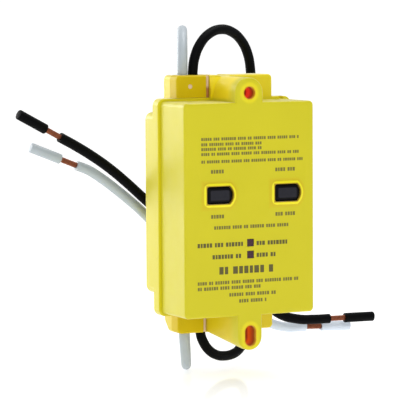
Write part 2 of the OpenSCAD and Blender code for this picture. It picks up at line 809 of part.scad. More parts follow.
// Windings that wrap the two cores
module toroid_windings() {
    color([0.72, 0.4, 0.2])
    for (i = [0, 1])
        difference() {
            toroid_ring(toroid_y(i), toroid_bore / 2, toroid_d / 2, toroid_h);
            toroid_ring(toroid_y(i) - winding_t + fit_gap, toroid_bore / 2 + winding_t - fit_gap,
                toroid_d / 2 - winding_t + fit_gap, toroid_h - 2 * winding_t + 2 * fit_gap);
        }
}

function up(h) = board_y - h;

// Relay base with slots for the contact posts
module relay_base() {
    half_w = pole_pitch / 2 + pole_w / 2 + post_w / 2 + 0.6;
    color([0.15, 0.15, 0.17])
    difference() {
        block([relay_x - half_w, up(relay_base_t), post_z - post_t / 2 - 1.6],
            [relay_x + half_w, board_y, hinge_z + 2]);
        for (x = contact_x)
            block([x - post_w / 2 - board_gap, up(relay_base_t) - 1, post_z - post_t / 2 - board_gap],
                [x + post_w / 2 + board_gap, board_y + 1, post_z + post_t / 2 + board_gap]);
    }
}

// Yoke: a bent strip with the coil on its foot and the hinge edge at its top
module relay_yoke() {
    color([0.62, 0.62, 0.6]) {
        block([relay_x - yoke_w / 2, up(relay_base_t + yoke_t), coil_z - coil_d / 2 - 0.6],
            [relay_x + yoke_w / 2, up(relay_base_t), hinge_z + yoke_t / 2]);
        block([relay_x - yoke_w / 2, up(hinge_h), hinge_z - yoke_t / 2],
            [relay_x + yoke_w / 2, up(relay_base_t), hinge_z + yoke_t / 2]);
    }
}

// Iron core of the coil, with a pole face at its top
module relay_core() {
    color([0.55, 0.55, 0.55]) {
        rod_y([relay_x, up(pole_h), coil_z], core_r, pole_h - relay_base_t - yoke_t);
        rod_y([relay_x, up(pole_h), coil_z], core_r + 1, pole_t);
    }
}

// Bobbin: tube and two flanges
module relay_bobbin() {
    foot = relay_base_t + yoke_t;
    color([0.85, 0.85, 0.8])
    difference() {
        union() {
            rod_y([relay_x, up(bobbin_top), coil_z], core_r + bobbin_wall, bobbin_top - foot);
            rod_y([relay_x, up(foot + flange_thick), coil_z], coil_d / 2 + 0.3, flange_thick);
            rod_y([relay_x, up(bobbin_top), coil_z], coil_d / 2 + 0.3, flange_thin);
        }
        rod_y([relay_x, up(bobbin_top + 1), coil_z], core_r + fit_gap, bobbin_top - foot + 2);
    }
}

// Winding on the bobbin
module relay_coil() {
    foot = relay_base_t + yoke_t + flange_thick;
    color([0.75, 0.38, 0.16])
    difference() {
        rod_y([relay_x, up(foot + coil_l - 0.1), coil_z], coil_d / 2, coil_l - 0.2);
        rod_y([relay_x, up(foot + coil_l + 1), coil_z], core_r + bobbin_wall + fit_gap, coil_l + 2);
    }
}

// Leaf on the back of the yoke that returns the armature
module return_leaf() {
    back = hinge_z + yoke_t / 2;
    color([0.8, 0.7, 0.4]) {
        block([relay_x - leaf_w / 2, up(hinge_h + 2.4), back],
            [relay_x + leaf_w / 2, up(leaf_foot), back + leaf_t]);
        block([relay_x - leaf_rivet, up(leaf_foot + 2 + leaf_rivet), back + leaf_t],
            [relay_x + leaf_rivet, up(leaf_foot + 2), back + leaf_t + 0.55]);
    }
}

// Armature plate over the coil
module relay_armature() {
    color([0.6, 0.6, 0.58])
    block([relay_x - yoke_w / 2, up(armature_h + yoke_t), post_z + post_w / 2 + 0.3],
        [relay_x + yoke_w / 2, up(armature_h), hinge_z + yoke_t / 2 - 0.2]);
}

// Insulating carrier on the armature's free end
module bridge_carrier() {
    half_w = pole_pitch / 2 + pole_w / 2 + post_w / 2 + 0.4;
    top = armature_h + yoke_t;
    color([0.9, 0.88, 0.8])
    block([relay_x - half_w, up(top + carrier_t), post_z - post_w / 2],
        [relay_x + half_w, up(top), coil_z - 2]);
}

// Two bridges, one a pole
module contact_bridges() {
    top = armature_h + yoke_t;
    color([0.75, 0.55, 0.25])
    for (p = [-1, 1])
        block([relay_x + p * pole_pitch / 2 - pole_w / 2 - post_w / 2, up(top), post_z - post_w / 2],
            [relay_x + p * pole_pitch / 2 + pole_w / 2 + post_w / 2, up(top - bridge_t), post_z + post_w / 2]);
}

function tip_h() = armature_h + yoke_t - bridge_t - contact_t;

// Contacts under the bridges
module moving_contacts() {
    color([0.88, 0.88, 0.9])
    for (x = contact_x)
        rod_y([x, up(tip_h() + contact_t), post_z], contact_d / 2, contact_t);
}

// Contacts on the posts
module fixed_contacts() {
    color([0.88, 0.88, 0.9])
    for (x = contact_x)
        rod_y([x, up(tip_h() - contact_gap), post_z], contact_d / 2, contact_t);
}

// Contact post of a bus, from the strap behind the board up to its contact
module contact_post(x) {
    block([x - post_w / 2, up(tip_h() - contact_gap - contact_t), post_z - post_t / 2],
        [x + post_w / 2, board_back + strap_t, post_z + post_t / 2]);
}

// Flat strap on the board's back
module back_strap(x0, x1, z0, z1) {
    block([x0, board_back, z0], [x1, board_back + strap_t, z1]);
}

// Line bus: from the crimp up through the toroids, over and back, then down to a contact post
module line_bus(x, riser_z, post_x) {
    half = strap_w / 2;
    color([0.78, 0.5, 0.25]) {
        block([x - half, lead_y - tab_t / 2, riser_z - tab_t / 2],
            [x + half, lead_y + tab_t / 2, line_tail_z - crimp_l]);
        block([x - half, over_y, riser_z - tab_t / 2], [x + half, lead_y + tab_t / 2, riser_z + tab_t / 2]);
        block([x - half, over_y, riser_z - half], [return_x + tab_t / 2, over_y + tab_t, riser_z + half]);
        block([return_x - tab_t / 2, over_y, riser_z - half],
            [return_x + tab_t / 2, board_back + strap_t, riser_z + half]);
        back_strap(return_x - tab_t / 2, post_x + half, riser_z - half, riser_z + half);
        back_strap(post_x - half, post_x + half, post_z - post_t / 2, riser_z + half);
        contact_post(post_x);
    }
}

module line_hot_bus() {
    line_bus(line_hot_x, toroid_z - riser_step, contact_x[1]);
}

module line_neutral_bus() {
    line_bus(lead_x, toroid_z + riser_step, contact_x[2]);
}

// Load bus: from the crimp to the board's back at riser_z, along it and up or down to a contact post
module load_bus(x, riser_z, post_x) {
    half = strap_w / 2;
    color([0.78, 0.5, 0.25]) {
        block([x - half, lead_y - tab_t / 2, load_tail_z + crimp_l],
            [x + half, lead_y + tab_t / 2, riser_z + tab_t / 2]);
        block([x - half, board_back, riser_z - tab_t / 2], [x + half, lead_y, riser_z + tab_t / 2]);
        back_strap(x - half, post_x + half, riser_z - tab_t / 2, riser_z + tab_t / 2);
        back_strap(post_x - half, post_x + half, min(riser_z, post_z) - tab_t / 2,
            max(riser_z, post_z) + tab_t / 2);
        contact_post(post_x);
    }
}

module load_hot_bus() {
    load_bus(load_hot_x, load_strap_z, contact_x[0]);
}

module load_neutral_bus() {
    load_bus(lead_x, load_tail_z + crimp_l + tab_t / 2, contact_x[3]);
}

// Crimp sleeves that join the leads to the buses
module crimp_sleeves() {
    color([0.75, 0.75, 0.78]) {
        for (x = [lead_x, line_hot_x])
            rod_z([x, lead_y, line_tail_z - crimp_l], crimp_d / 2, crimp_l);
        for (x = [lead_x, load_hot_x])
            rod_z([x, lead_y, load_tail_z], crimp_d / 2, crimp_l);
    }
}

// Controller in a flat package with gull-wing legs
module controller_chip() {
    z = toroid_z + 2.1;
    leg_pitch = 1.27;
    color([0.1, 0.1, 0.11]) {
        block([chip_x - chip_w / 2, up(2.1), z - 2], [chip_x + chip_w / 2, up(0.3), z + 2]);
        for (i = [-3.5:1:3.5])
            translate([chip_x + i * leg_pitch, 0, z]) block([-0.2, up(1.1), -3], [0.2, up(0), 3]);
    }
}

// Thyristor that fires the relay
module thyristor() {
    z = toroid_z - 0.5;
    half = thyristor_w / 2;
    color([0.12, 0.12, 0.13])
    translate([thyristor_x, 0, z]) {
        block([-half, up(2.4), -3], [half, up(0), 3]);
        block([leg_t - half, up(leg_t), 3 - eps], [half - leg_t, up(0), 4.4]);
        for (i = [-1, 1])
            block([i * 2.2 - 0.4, up(leg_t), -4.8], [i * 2.2 + 0.4, up(0), eps - 3]);
    }
}

// Surge varistor disc on two legs
module surge_varistor() {
    leg_l = varistor_h - varistor_r + 2.3;
    leg_step = varistor_r * 0.56;
    color([0.15, 0.3, 0.62]) {
        translate([varistor_x - varistor_t / 2, up(varistor_h), varistor_z]) rotate([0, 90, 0])
            cylinder(r = varistor_r, h = varistor_t);
        for (i = [-1, 1])
            rod_y([varistor_x, up(leg_l), varistor_z + i * leg_step], 0.45, leg_l);
    }
}

// Reservoir capacitor and film capacitor
module capacitors() {
    color([0.2, 0.22, 0.4]) {
        rod_y([reservoir_x, up(reservoir_h), reservoir_z], reservoir_r, reservoir_h);
        block([film_x - film_w / 2, up(film_h), film_z - film_t / 2],
            [film_x + film_w / 2, up(0), film_z + film_t / 2]);
    }
}

// Test resistor beside the test switch
module test_resistor() {
    h = 2.6;
    half = leg_t / 2;
    color([0.75, 0.65, 0.5])
    translate([resistor_x, 0, -1]) {
        translate([(resistor_span - resistor_l) / 2, up(h), 0]) rotate([0, 90, 0])
            cylinder(r = resistor_r, h = resistor_l);
        for (x = [0, resistor_span])
            block([x - half, up(h + half), -half], [x + half, up(0), half]);
        block([0, up(h + half), -half], [resistor_span, up(h - half), half]);
    }
}

// Rectifier diodes
module diodes() {
    color([0.1, 0.1, 0.1])
    for (i = [0:3])
        translate([diode_x + i * diode_pitch, 0, diode_z])
            block([0, up(diode_h), 0], [diode_w, up(0), diode_l]);
}

// Insulated lead ends inside the housing
module hot_tails() {
    color([0.06, 0.06, 0.07]) {
        rod_z([line_hot_x, lead_y, line_tail_z], lead_d / 2, neck_top - line_tail_z);
        rod_z([load_hot_x, lead_y, neck_bot], lead_d / 2, load_tail_z - neck_bot);
    }
}

module neutral_tails() {
    color([0.88, 0.89, 0.9]) {
        rod_z([lead_x, lead_y, line_tail_z], lead_d / 2, neck_top - line_tail_z);
        rod_z([lead_x, lead_y, neck_bot], lead_d / 2, load_tail_z - neck_bot);
    }
}

// Tube along a route: rings square to the path, carried from one to the next without twist
function unit(v) = v / norm(v);
function heading(p, i) = unit(p[min(i + 1, len(p) - 1)] - p[max(i - 1, 0)]);
function carried(n, t) = unit(n - (n * t) * t);
function normals(p, n, i = 0) = i >= len(p) ? [] :
    let(m = carried(n, heading(p, i))) concat([m], normals(p, m, i + 1));
function ring(c, n, t, r, k) = [for (j = [0:k - 1])
    c + r * (cos(360 * j / k) * n + sin(360 * j / k) * cross(t, n))];

module tube(p, r, k) {
    last = len(p) - 1;
    side = normals(p, [1, 0.02, 0.03]);
    points = [for (i = [0:last]) each ring(p[i], side[i], heading(p, i), r, k)];
    walls = [for (i = [0:last - 1]) for (j = [0:k - 1]) each
        [[i * k + j, i * k + (j + 1) % k, (i + 1) * k + j],
        [i * k + (j + 1) % k, (i + 1) * k + (j + 1) % k, (i + 1) * k + j]]];
    ends = concat([for (j = [1:k - 2]) [0, j + 1, j]],
        [for (j = [1:k - 2]) [last * k, last * k + j, last * k + j + 1]]);
    polyhedron([for (q = points) q], [for (f = concat(walls, ends)) [f[0], f[2], f[1]]]);
}

// Points of a half loop that leaves a neck and bends over towards a heading, its tip set aside by lean
function half_loop(x, side, toward, r, lean = 0) = [for (a = [22:22:154])
    [x + lean * sin(a), lead_y, relief_tip(side) + side * (loop_start + r * sin(a))]
    + r * (1 - cos(a)) * unit(toward)];

// Whole route of a lead: out of the neck, straight for a short way, then its route
function lead_path(x, side, route) = concat(
    [[x, lead_y, relief_tip(side)], [x, lead_y, relief_tip(side) + side * lead_start]], route);
function last_heading(p) = unit(p[len(p) - 1] - p[len(p) - 2]);

// Places children along the lead's last heading, from a distance past its end
module at_end(p, distance) {
    d = last_heading(p);
    translate(p[len(p) - 1] + distance * d) rotate([0, acos(d[2]), atan2(d[1], d[0])]) children();
}

module lead(p, shade) {
    color(shade) tube(p, lead_d / 2, 10);
}

// Bare conductor from the insulation to just short of the slug's end
module lead_core(p) {
    color([0.72, 0.4, 0.25]) at_end(p, 0) cylinder(d = core_d, h = bare_l + slug_l - 0.4);
}

// Slug of insulation left on the end of the conductor
module lead_slug(p, shade) {
    color(shade) at_end(p, bare_l)
        difference() {
            cylinder(d = lead_d, h = slug_l);
            translate([0, 0, -1]) cylinder(d = core_d + 2 * slug_gap, h = slug_l + 2);
        }
}

hot = [0.06, 0.06, 0.07];
neutral = [0.88, 0.89, 0.9];
line_hot_path = lead_path(line_hot_x, 1, line_hot_route);
line_neutral_path = lead_path(lead_x, 1, line_neutral_route);
load_hot_path = lead_path(load_hot_x, -1, load_hot_route);
load_neutral_path = lead_path(lead_x, -1, load_neutral_route);

front_cover();
rear_housing();
line_strain_relief();
load_strain_relief();
sealant_plugs();
test_button();
test_plunger();
test_spring();
test_switch();
reset_button();
reset_plunger();
reset_spring();
reset_switch();
light_pipes();
indicator_leds();
circuit_board();
board_screws();
toroid_cores();
toroid_windings();
relay_base();
relay_yoke();
relay_core();
relay_bobbin();
relay_coil();
return_leaf();
relay_armature();
bridge_carrier();
contact_bridges();
moving_contacts();
fixed_contacts();
line_hot_bus();
line_neutral_bus();
load_hot_bus();
load_neutral_bus();
crimp_sleeves();
controller_chip();
thyristor();
surge_varistor();
capacitors();
test_resistor();
diodes();
hot_tails();
neutral_tails();
lead(line_hot_path, hot);  // line_hot_lead
lead(line_neutral_path, neutral);  // line_neutral_lead
lead(load_hot_path, hot);  // load_hot_lead
lead(load_neutral_path, neutral);  // load_neutral_lead
lead_core(line_hot_path);  // line_hot_core
lead_core(line_neutral_path);  // line_neutral_core
lead_core(load_hot_path);  // load_hot_core
lead_core(load_neutral_path);  // load_neutral_core
lead_slug(line_hot_path, hot);  // line_hot_slug
lead_slug(line_neutral_path, neutral);  // line_neutral_slug
lead_slug(load_hot_path, hot);  // load_hot_slug
lead_slug(load_neutral_path, neutral);  // load_neutral_slug
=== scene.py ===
import json
import math

import bpy
from mathutils import Matrix, Vector


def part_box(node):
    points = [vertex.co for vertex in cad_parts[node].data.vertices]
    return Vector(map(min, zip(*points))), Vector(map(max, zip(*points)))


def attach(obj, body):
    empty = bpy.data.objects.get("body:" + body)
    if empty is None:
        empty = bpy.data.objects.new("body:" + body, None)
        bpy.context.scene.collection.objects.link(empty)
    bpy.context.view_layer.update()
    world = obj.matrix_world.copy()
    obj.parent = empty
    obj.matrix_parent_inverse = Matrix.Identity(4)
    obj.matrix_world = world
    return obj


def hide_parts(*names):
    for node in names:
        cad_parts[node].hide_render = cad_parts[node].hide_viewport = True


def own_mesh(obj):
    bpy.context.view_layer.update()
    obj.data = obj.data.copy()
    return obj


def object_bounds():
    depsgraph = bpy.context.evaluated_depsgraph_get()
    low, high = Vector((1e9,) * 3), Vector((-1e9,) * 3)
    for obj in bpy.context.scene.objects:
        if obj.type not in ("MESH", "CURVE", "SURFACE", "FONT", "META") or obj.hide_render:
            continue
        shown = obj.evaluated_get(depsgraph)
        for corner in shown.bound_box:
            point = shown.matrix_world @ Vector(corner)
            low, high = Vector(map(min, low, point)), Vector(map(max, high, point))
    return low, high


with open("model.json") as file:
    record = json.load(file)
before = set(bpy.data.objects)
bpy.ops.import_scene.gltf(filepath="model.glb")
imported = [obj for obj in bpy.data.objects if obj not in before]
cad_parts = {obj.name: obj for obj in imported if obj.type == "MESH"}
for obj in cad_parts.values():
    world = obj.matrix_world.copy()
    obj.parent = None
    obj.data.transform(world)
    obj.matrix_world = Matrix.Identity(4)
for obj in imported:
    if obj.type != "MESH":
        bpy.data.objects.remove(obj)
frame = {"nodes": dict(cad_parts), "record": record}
cad_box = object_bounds()
nodes = frame["nodes"]

MM = 0.001
HOUSING = "housing"

# Camera of the photograph: angles in degrees, distances in millimetres, focal length and frame in pixels
VIEW_TURN = 25.67
VIEW_RISE = 4.746
VIEW_ROLL = -0.328
VIEW_DISTANCE = 1000
VIEW_RIGHT = -17.45
VIEW_UP = 1.09
FOCAL_PX = 2491.1
FRAME_PX = 413
SENSOR_MM = 36
CLIP_NEAR = 0.05

# Sizes of the solids, in millimetres
FRONT_Y = -35.3
HOLE_Z = 46.7
HOLE_R = 2.4
SLOT_Z = -51.2
SLOT_R = 2.35
SLOT_REACH = 1.75
LEAD_Y = -6.5
LEAD_D = 4.1
LEAD_START = 0.3 * LEAD_D
CORE_D = 2.3
BARE_L = 7.5
SLUG_L = 14
SLUG_GAP = 0.06
NECK_TOP = 53.4
NECK_BOTTOM = -51.9
TEST_X = -13.4
RESET_X = 16.9
BUTTON_Z = 6.1
BUTTON_L = 11.2
BUTTON_H = 6.5
BUTTON_END_R = 4.2

# Half loops of the leads: first step out of the neck in millimetres, turns in degrees
LOOP_START = 0.6
LOOP_TURNS = range(22, 155, 22)

# Free routes of the leads, in millimetres: neck side, start, heading, radius and lean of a half loop out of
# the neck where there is one, and the points after it
LEADS = {
    "line_hot": (1, -11.4, ((5, 2, 0), 17.7, 0), [
        (21.5, 6.6, 55), (21.9, 7.1, 46), (21.9, 7.5, 36), (21.6, 7.5, 25), (21.5, 7.5, 14), (21.5, 7.5, 3),
        (21.5, 7.5, -9), (21.7, 7.5, -21), (23.3, 8, -32.3), (27.8, 8, -42.2), (35.4, 8, -49.2),
        (44.4, 8, -52), (52, 8, -52.6), (59.5, 8, -52.7)]),
    "line_neutral": (1, -16.2, ((1, 2.08, 0), 17.4, 0), [
        (-1.1, 25, 54.8), (-0.8, 25.2, 45), (0.2, 24.3, 34), (2.6, 22.4, 22), (5.6, 20.3, 10),
        (9, 18.2, -2), (12.5, 16.4, -14), (16, 15.2, -26), (20, 14.5, -37), (25.5, 14, -46.5),
        (32.8, 14, -53), (41.4, 14, -55.9), (51, 14, -56.3)]),
    "load_hot": (-1, -8.6, None, [
        (-7.1, -6.3, -57), (-4.2, -5.5, -60.5), (-0.1, -4, -62.9), (4.4, -1.8, -63.9), (9.4, 0.8, -63.9),
        (14.1, 3.8, -62.6), (17.7, 6.8, -59.7), (19.5, 9.3, -55), (19.6, 10.9, -48.8), (17.4, 11.3, -42),
        (12.8, 11.2, -35.4), (6.8, 10.9, -28.8), (0.2, 10.4, -22.3), (-6.6, 9.8, -15.9), (-13.6, 9.2, -9.5),
        (-20.6, 8.6, -3.2), (-27.8, 8.1, 3), (-35, 7.9, 9.3), (-42.5, 7.6, 15.3), (-50.2, 7, 20.5),
        (-57.9, 6.2, 25), (-65.4, 5.1, 28.9)]),
    "load_neutral": (-1, -16.2, ((1, 2.08, 0), 15.2, 0.9), [
        (-2.9, 21.3, -48.3), (-3.9, 21, -38.5), (-7.2, 19.4, -29), (-11.9, 17.3, -19.5), (-17.8, 15.4, -11),
        (-24.6, 13.8, -4.3), (-31.9, 13, 1.8), (-39, 13, 7.4), (-44.4, 13, 11.3), (-49.6, 13, 14.5),
        (-55.1, 13, 16.7)]),
}


def make_camera():
    """Camera where the photograph was taken from."""
    turn, rise, roll = (math.radians(a) for a in (VIEW_TURN, VIEW_RISE, VIEW_ROLL))
    ahead = Vector((math.sin(turn) * math.cos(rise), math.cos(turn) * math.cos(rise), -math.sin(rise)))
    level = Vector((math.cos(turn), -math.sin(turn), 0))
    over = level.cross(ahead)
    right = math.cos(roll) * level + math.sin(roll) * over
    up = math.cos(roll) * over - math.sin(roll) * level
    place = Vector((0, FRONT_Y, 0)) - VIEW_DISTANCE * ahead + VIEW_RIGHT * right + VIEW_UP * up
    data = bpy.data.cameras.new("photo_camera")
    data.sensor_width = SENSOR_MM
    data.lens = FOCAL_PX / FRAME_PX * SENSOR_MM
    data.clip_start = CLIP_NEAR
    camera = bpy.data.objects.new("photo_camera", data)
    bpy.context.scene.collection.objects.link(camera)
    camera.matrix_world = Matrix.Translation(place * MM) @ Matrix((right, up, -ahead)).transposed().to_4x4()
    bpy.context.scene.camera = camera


class NodeTree:
    """Nodes of a material or of the world, with short ways to add and join them."""

    def __init__(self, tree):
        self.tree = tree

    def add(self, kind, **settings):
        node = self.tree.nodes.new(kind)
        for key, value in settings.items():
            setattr(node, key, value)
        return node

    def feed(self, socket, value):
        """Link another node's output to a socket, or set the socket to a plain value."""
        if hasattr(value, "is_output"):
            self.tree.links.new(value, socket)
        else:
            socket.default_value = value

    def calc(self, operation, first, second=0.0):
        node = self.add("ShaderNodeMath", operation=operation)
        self.feed(node.inputs[0], first)
        self.feed(node.inputs[1], second)
        return node.outputs[0]

    def minus(self, first, second):
        return self.calc("SUBTRACT", first, second)

    def times(self, first, second):
        return self.calc("MULTIPLY", first, second)

    def largest(self, first, *others):
        for other in others:
            first = self.calc("MAXIMUM", first, other)
        return first

    def distance(self, first, second):
        """Length of a step that has these two parts."""
        return self.calc("SQRT", self.calc("ADD", self.times(first, first), self.times(second, second)))

    def split(self, vector):
        """The three parts of a vector."""
        node = self.add("ShaderNodeSeparateXYZ")
        self.feed(node.inputs[0], vector)
        return node.outputs

    def span(self, value, low, high, new_low=0.0, new_high=1.0):
        """Value from low to high carried to new_low to new_high, and held there."""
        node = self.add("ShaderNodeMapRange", interpolation_type="SMOOTHSTEP")
        self.feed(node.inputs["Value"], value)
        limits = {"From Min": low, "From Max": high, "To Min": new_low, "To Max": new_high}
        for socket, number in limits.items():
            node.inputs[socket].default_value = number
        return node.outputs["Result"]

    def zone(self, value, low, high, strength=1.0):
        """Full strength up to low, nothing from high on."""
        return self.span(value, low, high, strength, 0)


# Values of the noise that count as its low and high end
NOISE_ENDS = (0.3, 0.7)

# Places of a Mix node's colour sockets, which share their names with others
MIX_COLOURS = (6, 7)
MIX_RESULT = 2


class Surface(NodeTree):
    """One procedural material: a Principled surface and the nodes that feed it, in object coordinates."""

    def __init__(self, name, constants):
        self.material = bpy.data.materials.new(name)
        self.material.use_nodes = True
        super().__init__(self.material.node_tree)
        self.shader = self.tree.nodes["Principled BSDF"]
        for socket, value in constants.items():
            self.shader.inputs[socket].default_value = value
        self.place = self.add("ShaderNodeTexCoord").outputs["Object"]

    def axes(self):
        """The three object coordinates, in millimetres."""
        node = self.add("ShaderNodeVectorMath", operation="SCALE")
        self.feed(node.inputs["Vector"], self.place)
        self.feed(node.inputs["Scale"], 1 / MM)
        return self.split(node.outputs["Vector"])

    def facing(self, axis):
        """How far the surface itself, before smoothing, faces along an axis."""
        return self.split(self.add("ShaderNodeNewGeometry").outputs["True Normal"])[axis]

    def noise(self, size_mm, detail=2.0, stretch=None):
        """Noise from 0 to 1 with features of about size_mm, shorter along an axis that is stretched."""
        place = self.place
        if stretch:
            mapping = self.add("ShaderNodeMapping")
            self.feed(mapping.inputs["Scale"], stretch)
            self.feed(mapping.inputs["Vector"], self.place)
            place = mapping.outputs["Vector"]
        node = self.add("ShaderNodeTexNoise")
        self.feed(node.inputs["Scale"], 1 / (size_mm * MM))
        self.feed(node.inputs["Detail"], detail)
        self.feed(node.inputs["Vector"], place)
        return node.outputs["Fac"]

    def mix(self, factor, first, second):
        """Mix of two colours: plain ones are tuples."""
        node = self.add("ShaderNodeMix", data_type="RGBA")
        self.feed(node.inputs["Factor"], factor)
        for index, colour in zip(MIX_COLOURS, (first, second)):
            self.feed(node.inputs[index], (*colour, 1) if isinstance(colour, tuple) else colour)
        return node.outputs[MIX_RESULT]

    def colour(self, value):
        self.feed(self.shader.inputs["Base Color"], value)

    def roughness(self, value):
        self.feed(self.shader.inputs["Roughness"], value)

    def bump(self, height, depth_mm):
        node = self.add("ShaderNodeBump")
        self.feed(node.inputs["Distance"], depth_mm * MM)
        self.feed(node.inputs["Height"], height)
        self.feed(self.shader.inputs["Normal"], node.outputs["Normal"])

    def grain(self, size_mm, depth_mm, rough, stretch=None):
        """Fine grain: a bump, and a roughness that goes with it."""
        grain = self.noise(size_mm, detail=2, stretch=stretch)
        self.roughness(self.span(grain, *NOISE_ENDS, *rough))
        self.bump(grain, depth_mm)


def varied(name, constants, dark, light, patch_mm, rough, grain_mm, grain_depth_mm, stretch=None):
    """Plain material: two close shades in patches and a fine grain."""
    surface = Surface(name, constants)
    surface.colour(surface.mix(surface.noise(patch_mm, detail=3), dark, light))
    surface.grain(grain_mm, grain_depth_mm, rough, stretch)
    return surface.material


def from_button(surface, x, z):
    """Distance outside the nearer button's outline in millimetres, negative inside it."""
    at_reset = surface.calc("GREATER_THAN", x, (TEST_X + RESET_X) / 2)
    middle = surface.calc("ADD", surface.times(at_reset, RESET_X - TEST_X), TEST_X)
    local = surface.minus(x, middle)
    rise = surface.calc("ABSOLUTE", surface.minus(z, BUTTON_Z))
    reach = surface.largest(surface.minus(local, BUTTON_L / 2 - BUTTON_END_R), 0.0)
    right = surface.minus(surface.distance(reach, rise), BUTTON_END_R)
    left = surface.minus(-BUTTON_L / 2, local)
    above = surface.minus(rise, BUTTON_H / 2)
    return surface.largest(right, left, above)


# Depths behind the front face between which a zone of the yellow housing fades out, in millimetres
RIM_DEPTH = (-0.5, -0.2)
EDGE_DEPTH = (0.3, 1.5)
SHELL_DEPTH = (0.5, 1.5)
RED_DEPTH = (10, 13)

# Depths and heights between which a zone fades in
MOUTH_DEPTH = (0.3, 2)
CORE_DEPTH = (1.5, 7)
DEEP_DEPTH = (6.5, 9)
NECK_DEPTH = (2, 8)
NECK_RISE = (43, 45)
UPPER_RISE = (-1, 1)

# Zones around the screw openings and the buttons: distances from the outline between which a zone fades out,
# and its strength
INSIDE_ZONE = (0.05, 0.2, 1)
EDGE_ZONE = (0, 0.6, 0.75)
COLLAR_ZONE = (1, 2.4, 0.7)
BRINK_ZONE = (0.45, 0.8, 1)
HALO_ZONE = (1.6, 3.4, 0.8)

# Painted shade on the lower neck: a more orange yellow where the recessed neck lies in shade
LOWER_NECK_PAINTED_SHADE = (0.72, 0.57, 0.003)
# Painted shade: a darker golden ring around each button's raised rim
HALO_PAINTED_SHADE = (0.64, 0.49, 0.0)
# Painted highlight: a brighter yellow on the raised button rims
RIM_PAINTED_HIGHLIGHT = (0.88, 0.80, 0.006)
# Painted shade: a brown-orange band just beside each button, inside its rim
BRINK_PAINTED_SHADE = (0.42, 0.27, 0.002)
# Painted highlight: a lighter ring around the screw hole and slot
COLLAR_PAINTED_HIGHLIGHT = (0.84, 0.72, 0.002)
# Painted shade: a dark orange ring at the edge of the screw hole and slot
EDGE_PAINTED_SHADE = (0.60, 0.20, 0.0)

# Painted light and shade inside the screw openings, as colour and glow: dark at the mouth, red bounced light
# further in for the slot, further in for the hole, and darker deepest
INSIDE_PAINTED_TINTS = ((0.46, 0.10, 0.0), (0.66, 0.13, 0.0), (0.84, 0.09, 0.025), (0.40, 0.03, 0.0))
INSIDE_PAINTED_GLOW = ((0.015, 0.002, 0.0), (0.30, 0.045, 0.0), (0.36, 0.024, 0.01), (0.05, 0.002, 0.0))

SATIN = (0.36, 0.43)
INSIDE_ROUGHER = 0.45


def screw_openings(surface, x, z):
    """Distance from the middle of the screw hole and from the line of the slot, with the radius of each."""
    hole_rise = surface.minus(z, HOLE_Z)
    slot_rise = surface.calc("ABSOLUTE", surface.minus(z, SLOT_Z))
    slot_rise = surface.largest(surface.minus(slot_rise, SLOT_REACH), 0.0)
    return [(surface.distance(x, hole_rise), HOLE_R), (surface.distance(x, slot_rise), SLOT_R)]


def around(surface, openings, zone):
    """Strength of a zone around the screw openings."""
    low, high, strength = zone
    near = [surface.zone(away, radius + low, radius + high, strength) for away, radius in openings]
    return surface.largest(*near)


def moulded_yellow(name, dark, light, upper_neck_painted_light, sheen):
    """Satin yellow plastic with painted light and shade: highlights on the button rims and around the screw
    openings, shade beside the rims and at the openings' edge, light and shade on the necks, and an orange
    and red painted glow just inside the screw hole and slot.
    """
    surface = Surface(name, {"Specular IOR Level": 0.38, "Sheen Weight": sheen, "Sheen Roughness": 0.3,
                             "Emission Strength": 1})
    x, y, z = surface.axes()
    depth = surface.minus(y, FRONT_Y)
    upper = surface.span(z, *UPPER_RISE)
    beside = from_button(surface, x, z)
    openings = screw_openings(surface, x, z)
    shell = surface.zone(depth, *SHELL_DEPTH)
    face = surface.zone(depth, *EDGE_DEPTH)
    # Recessed necks, painted: shade on the lower neck, light on the upper neck
    neck = surface.span(surface.calc("ABSOLUTE", z), *NECK_RISE)
    neck = surface.times(neck, surface.span(depth, *NECK_DEPTH))
    yellow = surface.mix(surface.noise(size_mm=22, detail=3), dark, light)
    # Painted light and shade laid over the yellow: the strength of each zone and its tint
    layers = [
        (neck, surface.mix(upper, LOWER_NECK_PAINTED_SHADE, upper_neck_painted_light)),
        (surface.times(surface.zone(beside, *HALO_ZONE), shell), HALO_PAINTED_SHADE),
        (surface.zone(depth, *RIM_DEPTH), RIM_PAINTED_HIGHLIGHT),
        (surface.times(surface.zone(beside, *BRINK_ZONE), shell), BRINK_PAINTED_SHADE),
        (surface.times(around(surface, openings, COLLAR_ZONE), face), COLLAR_PAINTED_HIGHLIGHT),
        (surface.times(around(surface, openings, EDGE_ZONE), face), EDGE_PAINTED_SHADE),
    ]
    for strength, tint in layers:
        yellow = surface.mix(strength, yellow, tint)

    # Inside the openings: painted light and shade, as colour and emission, from the mouth to the red depth
    inside = surface.times(around(surface, openings, INSIDE_ZONE), surface.span(depth, *MOUTH_DEPTH))
    inside = surface.times(inside, surface.zone(depth, *RED_DEPTH))
    further, deepest = surface.span(depth, *CORE_DEPTH), surface.span(depth, *DEEP_DEPTH)

    def by_depth(mouth, slot_core, hole_core, end):
        core = surface.mix(further, mouth, surface.mix(upper, slot_core, hole_core))
        return surface.mix(deepest, core, end)

    surface.colour(surface.mix(inside, yellow, by_depth(*INSIDE_PAINTED_TINTS)))
    painted_glow = surface.mix(inside, (0, 0, 0), by_depth(*INSIDE_PAINTED_GLOW))
    surface.feed(surface.shader.inputs["Emission Color"], painted_glow)
    satin = surface.span(surface.noise(size_mm=6, detail=2), *NOISE_ENDS, *SATIN)
    surface.roughness(surface.calc("ADD", satin, surface.times(inside, INSIDE_ROUGHER)))
    surface.bump(surface.noise(size_mm=2.5, detail=1), depth_mm=0.004)
    return surface.material


